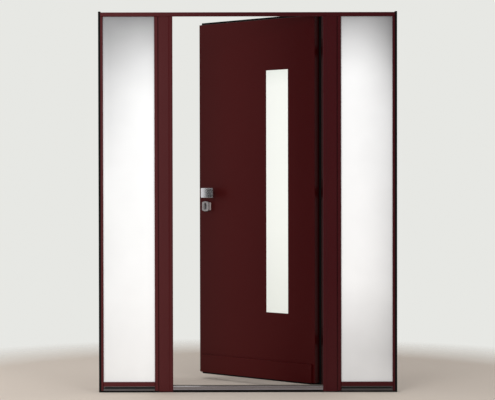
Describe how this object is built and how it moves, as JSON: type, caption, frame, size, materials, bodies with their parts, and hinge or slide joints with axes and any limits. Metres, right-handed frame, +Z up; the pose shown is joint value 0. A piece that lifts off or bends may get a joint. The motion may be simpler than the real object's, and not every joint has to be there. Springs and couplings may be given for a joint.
{
  "type": "entrance door set with two fixed side lights",
  "caption": "Painted steel security door standing ajar in a slim frame, with a tall glass strip in the leaf, a pad knob and a fixed white glass side light on each side.",
  "frame": {"origin": "on the floor under the sill, midway along it and midway through the frame's depth", "axes": "+X to the right seen from outside, +Y inward, +Z up"},
  "size_m": [1.65, 0.655, 2.105],
  "materials": {
    "frame_paint": "wine red powder coat, low sheen",
    "leaf_paint": "wine red powder coat, low sheen",
    "black_trim": "matt black extruded plastic",
    "seal_rubber": "black extruded rubber",
    "white_glass": "opal white glass, smooth outside",
    "sill_aluminium": "satin grey aluminium",
    "threshold_steel": "brushed stainless steel",
    "satin_steel": "satin stainless steel",
    "cylinder_nickel": "satin nickel plate",
    "lock_steel": "zinc plated steel",
    "hinge_steel": "satin grey coated steel"
  },
  "bodies": {
    "frame": {"frame_head": "frame_paint", "frame_seal": "seal_rubber", "left_bottom_rail": "frame_paint", "left_edge_strip": "black_trim", "left_glass": "white_glass", "left_glass_gasket": "seal_rubber", "left_glazing_bead": "frame_paint", "left_inner_stile": "frame_paint", "left_outer_stile": "frame_paint", "left_post": "frame_paint", "left_side_sill": "sill_aluminium", "lock_keep": "lock_steel", "lower_hinge_frame_half": "hinge_steel", "middle_hinge_frame_half": "hinge_steel", "right_bottom_rail": "frame_paint", "right_edge_strip": "black_trim", "right_glass": "white_glass", "right_glass_gasket": "seal_rubber", "right_glazing_bead": "frame_paint", "right_inner_stile": "frame_paint", "right_outer_stile": "frame_paint", "right_post": "frame_paint", "right_side_sill": "sill_aluminium", "sill_base": "black_trim", "threshold": "threshold_steel", "threshold_stop": "black_trim", "upper_hinge_frame_half": "hinge_steel"},
    "leaf": {"dead_bolts": "lock_steel", "inner_lever": "satin_steel", "inner_lock_rosette": "satin_steel", "inner_panel": "leaf_paint", "kick_plate": "leaf_paint", "knob": "satin_steel", "knob_rosette": "satin_steel", "latch_bolt": "lock_steel", "leaf_glass": "white_glass", "leaf_glass_trim": "leaf_paint", "leaf_seal": "seal_rubber", "lever_rosette": "satin_steel", "lock_base": "satin_steel", "lock_cylinder": "cylinder_nickel", "lock_faceplate": "lock_steel", "lock_guard": "satin_steel", "lower_hinge_leaf_half": "hinge_steel", "middle_hinge_leaf_half": "hinge_steel", "outer_panel": "leaf_paint", "upper_hinge_leaf_half": "hinge_steel"}
  },
  "joints": [
    {"name": "door_swing", "type": "hinge", "parent": "frame", "child": "leaf", "pos_m": [0.45, 0.082, 0], "axis": [0, 0, -1], "range_deg": [-39.7, 55.3]}
  ]
}
